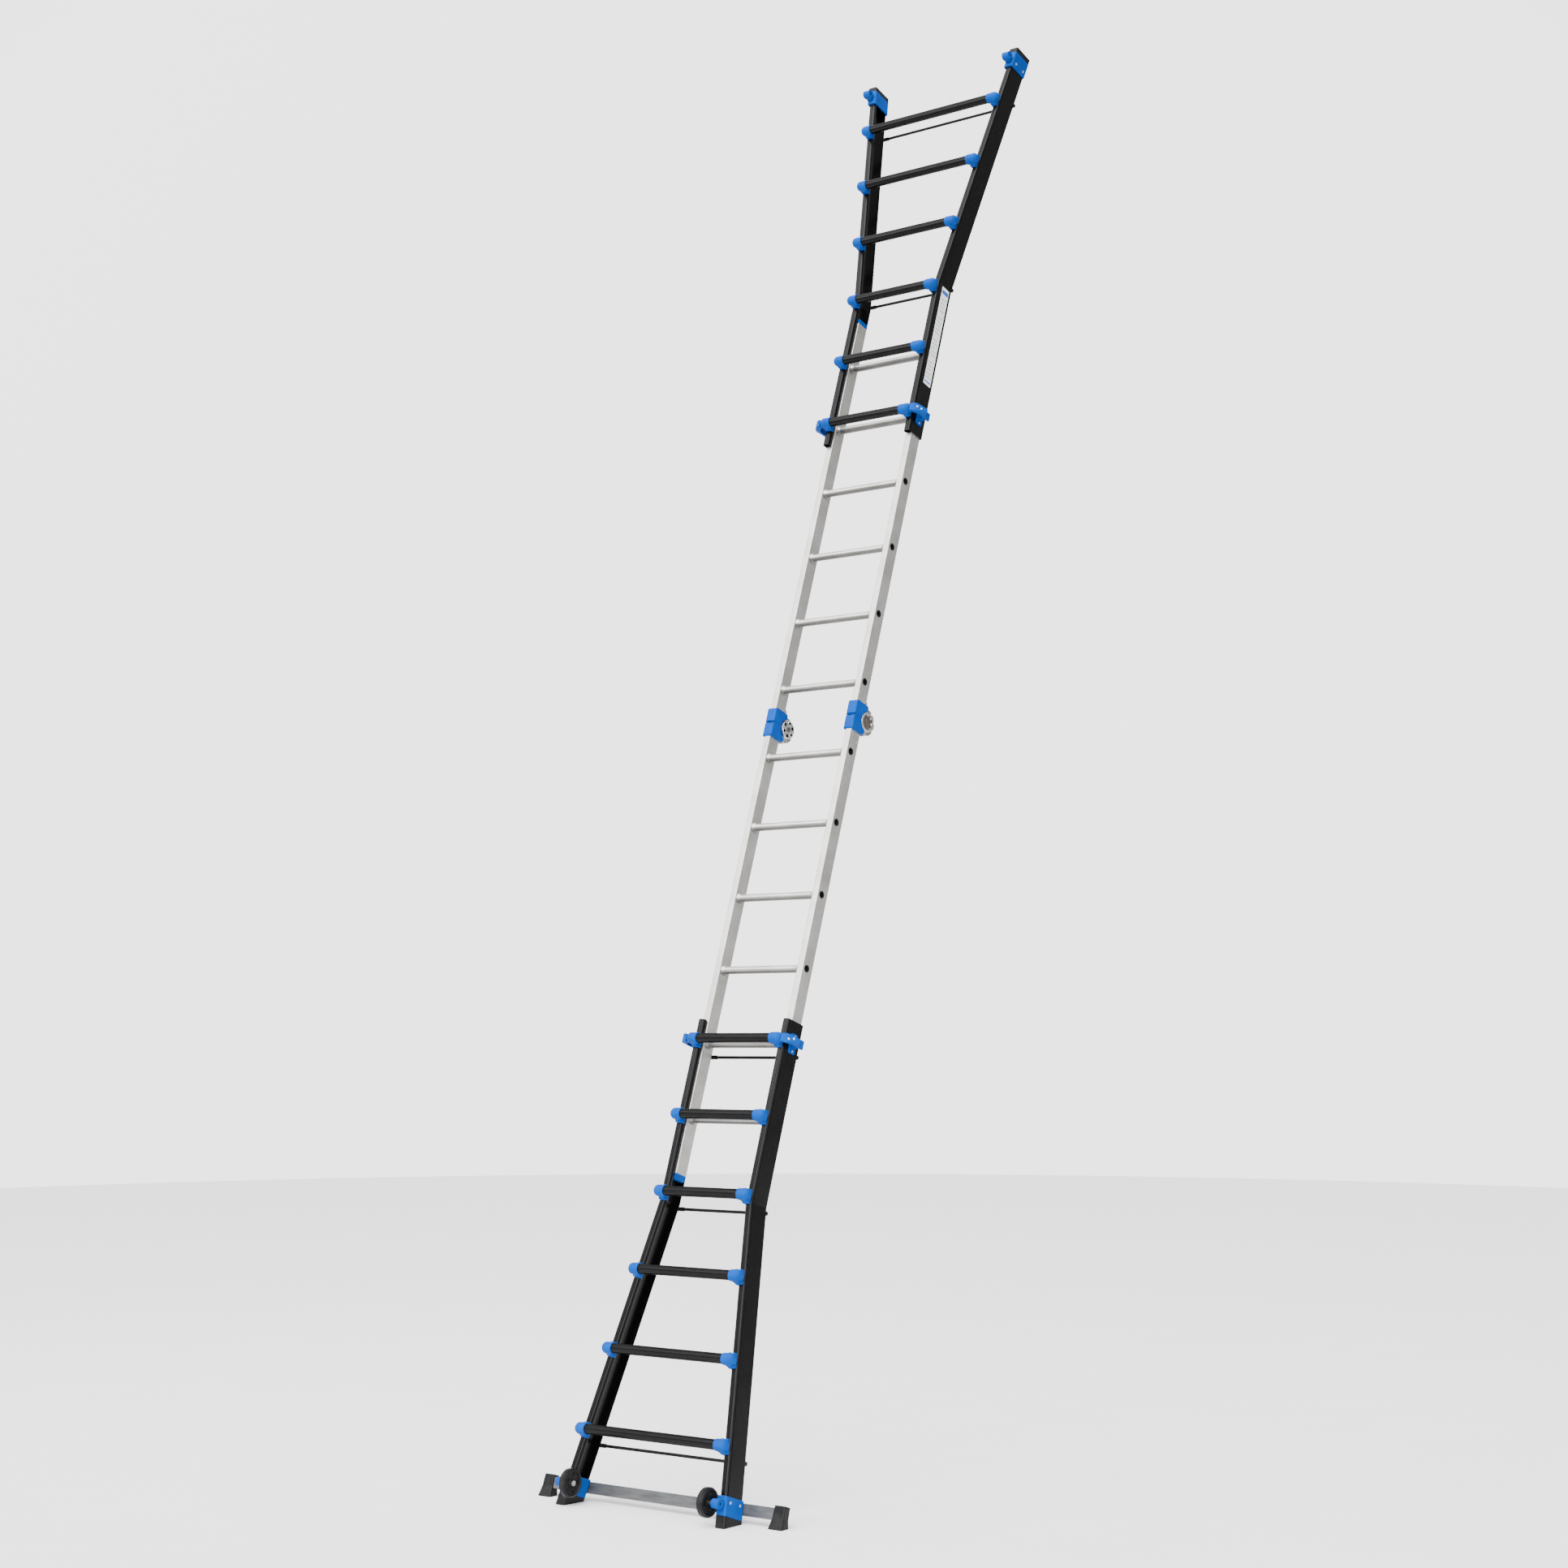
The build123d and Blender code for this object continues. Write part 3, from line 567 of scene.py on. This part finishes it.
def add_camera():
    """Standing height, to the ladder's right and front."""
    camera = bpy.data.objects.new("camera", bpy.data.cameras.new("camera"))
    bpy.context.scene.collection.objects.link(camera)
    camera.location = (5.8119, -6.6782, 1.5622)
    camera.data.lens = 59.51
    camera.data.sensor_width = 36
    azimuth, elevation = math.radians(38.10), math.radians(5.708)
    forward = Vector((-math.sin(azimuth) * math.cos(elevation),
                      math.cos(azimuth) * math.cos(elevation), math.sin(elevation)))
    aim(camera, camera.location + forward)
    bpy.context.scene.camera = camera


def add_area(name, place, target, size, watts):
    """A rectangular soft light."""
    light = bpy.data.lights.new(name, "AREA")
    light.shape = "RECTANGLE"
    light.size, light.size_y = size
    light.energy = watts
    obj = bpy.data.objects.new(name, light)
    bpy.context.scene.collection.objects.link(obj)
    obj.location = place
    aim(obj, target)


def add_world():
    """An evenly dim room, a soft area at the front left, a tall strip in front of the
    ladder that draws the highlights on the dark stiles, and a white backdrop."""
    world = bpy.data.worlds.new("studio")
    world.use_nodes = True
    bpy.context.scene.world = world
    tree = world.node_tree
    direction = tree.nodes.new("ShaderNodeTexCoord").outputs["Generated"]

    def glow(towards, start, end, level):
        """A smooth patch of light round one direction, between two cosines."""
        dot = tree.nodes.new("ShaderNodeVectorMath")
        dot.operation = "DOT_PRODUCT"
        dot.inputs[1].default_value = Vector(towards).normalized()
        tree.links.new(direction, dot.inputs[0])
        ramp = tree.nodes.new("ShaderNodeMapRange")
        ramp.interpolation_type = "SMOOTHSTEP"
        ramp.inputs["From Min"].default_value = start
        ramp.inputs["From Max"].default_value = end
        ramp.inputs["To Max"].default_value = level
        tree.links.new(dot.outputs["Value"], ramp.inputs["Value"])
        return ramp.outputs["Result"]

    def combined(operation, first, *others):
        """Add or multiply several values."""
        for other in others:
            node = tree.nodes.new("ShaderNodeMath")
            node.operation = operation
            tree.links.new(first, node.inputs[0])
            tree.links.new(other, node.inputs[1])
            first = node.outputs["Value"]
        return first

    strip = combined("MULTIPLY",
                     glow((-0.97, -0.24, 0), -0.50, -0.36, 1.0),
                     glow((0.97, 0.24, 0), -0.34, -0.20, 1.0),
                     glow((0.18, -0.72, 0.67), 0.72, 0.88, 8.5))
    room = glow((0, 0, 1), -0.55, 0.0, 0.55)
    soft = glow((-0.60, -0.55, 0.58), 0.25, 0.95, 1.2)
    backdrop = glow((-0.614, 0.783, 0.05), 0.82, 0.92, 2.6)
    sky = tree.nodes["Background"]
    tree.links.new(combined("ADD", room, soft, backdrop, strip), sky.inputs["Strength"])
    sky.inputs["Color"].default_value = (1, 1, 1, 1)


def add_floor():
    """A wide round floor, set back so that it fills the camera's view."""
    bm = bmesh.new()
    bmesh.ops.create_circle(bm, cap_ends=True, segments=160, radius=13)
    mesh = bpy.data.meshes.new("floor")
    bm.to_mesh(mesh)
    bm.free()
    mesh.materials.append(pale_floor())
    floor = bpy.data.objects.new("floor", mesh)
    bpy.context.scene.collection.objects.link(floor)
    floor.location = (-5.6, 7.9, -0.0005)


def add_studio():
    add_world()
    add_floor()
    add_area("key", (-4.6, -5.0, 7.6), (0, 0.9, 2.6), (3.5, 4.5), 430)
    add_area("overhead", (-1.0, 1.5, 9.5), (-1.0, 2.5, 0), (9, 9), 560)
    add_area("side_fill", (7.5, -1.8, 3.6), (0, 0.9, 2.6), (3, 4.5), 190)


dress_cad()
add_hardware()
add_camera()
add_studio()
